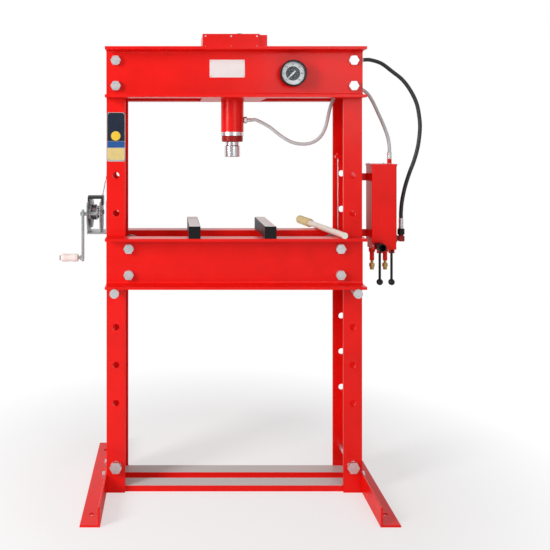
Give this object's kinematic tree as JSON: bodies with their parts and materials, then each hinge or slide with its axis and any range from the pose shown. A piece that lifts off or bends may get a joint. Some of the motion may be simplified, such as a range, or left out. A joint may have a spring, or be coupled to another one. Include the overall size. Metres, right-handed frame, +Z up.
{
  "type": "hydraulic press",
  "caption": "Floor-standing H-frame hydraulic shop press with a central ram, pinned bed raised by a hand winch, pressure gauge and side pump unit.",
  "frame": {"origin": "on the floor, midway between the four anchor holes", "axes": "+X to the right seen from the front, +Y to the rear, +Z up"},
  "size_m": [1.4931, 0.7789, 1.852],
  "materials": {
    "red_paint": "gloss",
    "steel": "satin",
    "zinc": "satin",
    "chromed": "polished",
    "black_steel": "satin",
    "brass": "satin",
    "gauge_black": "gloss",
    "dial": "matte",
    "glass": "clear",
    "grey_hose": "matte",
    "black_hose": "matte",
    "seal": "matte",
    "grip": "matte",
    "yellow_grip": "matte",
    "pale_steel": "satin"
  },
  "bodies": {
    "frame": {"left_upright": "red_paint", "right_upright": "red_paint", "top_front_channel": "red_paint", "top_rear_channel": "red_paint", "beam_bolts": "steel", "left_foot": "red_paint", "right_foot": "red_paint", "cross_ties": "red_paint", "base_bolts": "steel", "cylinder_plates": "red_paint", "cylinder_tube": "red_paint", "cylinder_gland": "red_paint", "pressure_pipe": "steel", "top_cover": "red_paint", "gauge_case": "gauge_black", "gauge_dial": "dial", "gauge_glass": "glass", "winch_frame": "zinc", "winch_cover": "black_steel", "pivot_pins": "steel", "guide_bracket": "red_paint", "rope_anchor": "red_paint", "pump_brackets": "red_paint", "pump_tank": "red_paint", "pump_lid": "red_paint", "pump_block": "red_paint", "valve_bodies": "red_paint", "valve_nuts": "brass", "hose_fittings": "steel", "grey_hose": "grey_hose", "black_hose": "black_hose", "rope_winch_run": "steel", "rope_falls": "steel"},
    "ram": {"ram_rod": "chromed", "piston_seal": "seal", "ram_nose": "chromed"},
    "bed": {"bed_front_channel": "red_paint", "bed_rear_channel": "red_paint", "bed_bolts": "steel", "bed_spacers": "zinc", "arbor_plates": "black_steel", "handle_bar": "pale_steel", "handle_grip": "yellow_grip", "rope_bed_run": "steel"},
    "left_pin": {"left_bed_pin": "steel"},
    "right_pin": {"right_bed_pin": "steel"},
    "drum": {"winch_drum": "zinc", "drum_gear": "zinc", "drum_rope": "steel"},
    "crank": {"crank_shaft": "zinc", "crank_arm": "zinc"},
    "grip": {"crank_grip": "grip"},
    "pawl_arm": {"pawl": "zinc"},
    "guide_wheel": {"guide_sheave": "zinc"},
    "left_wheel": {"left_bed_sheave": "zinc"},
    "right_wheel": {"right_bed_sheave": "zinc"},
    "needle": {"gauge_needle": "gauge_black"},
    "socket": {"pump_socket": "black_steel"},
    "lever_left": {"left_valve_lever": "black_steel"},
    "lever_right": {"right_valve_lever": "black_steel"}
  },
  "joints": [
    {"name": "ram_stroke", "type": "slide", "parent": "frame", "child": "ram", "axis": [0, 0, -1], "range_m": [0, 0.2]},
    {"name": "bed_lift", "type": "slide", "parent": "frame", "child": "bed", "axis": [0, 0, 1], "range_m": [0, 0.306], "deforming": ["rope_falls"]},
    {"name": "left_pin_pull", "type": "slide", "parent": "frame", "child": "left_pin", "axis": [0, -1, 0], "range_m": [0, 0.27]},
    {"name": "right_pin_pull", "type": "slide", "parent": "frame", "child": "right_pin", "axis": [0, -1, 0], "range_m": [0, 0.27]},
    {"name": "drum_turn", "type": "hinge", "parent": "frame", "child": "drum", "pos_m": [-0.57, 0.03003, 1.119], "axis": [1, 0, 0], "range_deg": [-1170.01, 0]},
    {"name": "crank_turn", "type": "hinge", "parent": "frame", "child": "crank", "pos_m": [-0.621, -0.04712, 1.119], "axis": [1, 0, 0], "range_deg": [0, 4680.01]},
    {"name": "grip_spin", "type": "hinge", "parent": "crank", "child": "grip", "pos_m": [-0.671, -0.04712, 0.939], "axis": [1, 0, 0], "continuous": true},
    {"name": "pawl_swing", "type": "hinge", "parent": "frame", "child": "pawl_arm", "pos_m": [-0.558, -0.02112, 1.141], "axis": [1, 0, 0], "range_deg": [0, 15]},
    {"name": "guide_turn", "type": "hinge", "parent": "frame", "child": "guide_wheel", "pos_m": [-0.485, 0.06, 1.345], "axis": [0, 1, 0], "range_deg": [-1168.84, 0]},
    {"name": "left_sheave_turn", "type": "hinge", "parent": "bed", "child": "left_wheel", "pos_m": [-0.425, 0.06, 0.9853], "axis": [0, 1, 0], "range_deg": [0, 584.43]},
    {"name": "right_sheave_turn", "type": "hinge", "parent": "bed", "child": "right_wheel", "pos_m": [0.425, 0.06, 0.9853], "axis": [0, 1, 0], "range_deg": [0, 584.43]},
    {"name": "needle_turn", "type": "hinge", "parent": "frame", "child": "needle", "pos_m": [0.231, -0.131, 1.687], "axis": [0, 1, 0], "range_deg": [0, 270]},
    {"name": "handle_socket_swing", "type": "hinge", "parent": "frame", "child": "socket", "pos_m": [0.583, -0.092, 0.994], "axis": [1, 0, 0], "range_deg": [-50, 0]},
    {"name": "left_lever_swing", "type": "hinge", "parent": "frame", "child": "lever_left", "pos_m": [0.597, -0.062, 0.967], "axis": [1, 0, 0], "range_deg": [-20, 20]},
    {"name": "right_lever_swing", "type": "hinge", "parent": "frame", "child": "lever_right", "pos_m": [0.645, -0.062, 0.967], "axis": [1, 0, 0], "range_deg": [-20, 20]}
  ],
  "couplings": [
    {"joint": "drum_turn", "follows": "bed_lift", "rad_per_m": -66.733},
    {"joint": "crank_turn", "follows": "bed_lift", "rad_per_m": 266.93},
    {"joint": "guide_turn", "follows": "bed_lift", "rad_per_m": -66.667},
    {"joint": "left_sheave_turn", "follows": "bed_lift", "rad_per_m": 33.333},
    {"joint": "right_sheave_turn", "follows": "bed_lift", "rad_per_m": 33.333}
  ]
}
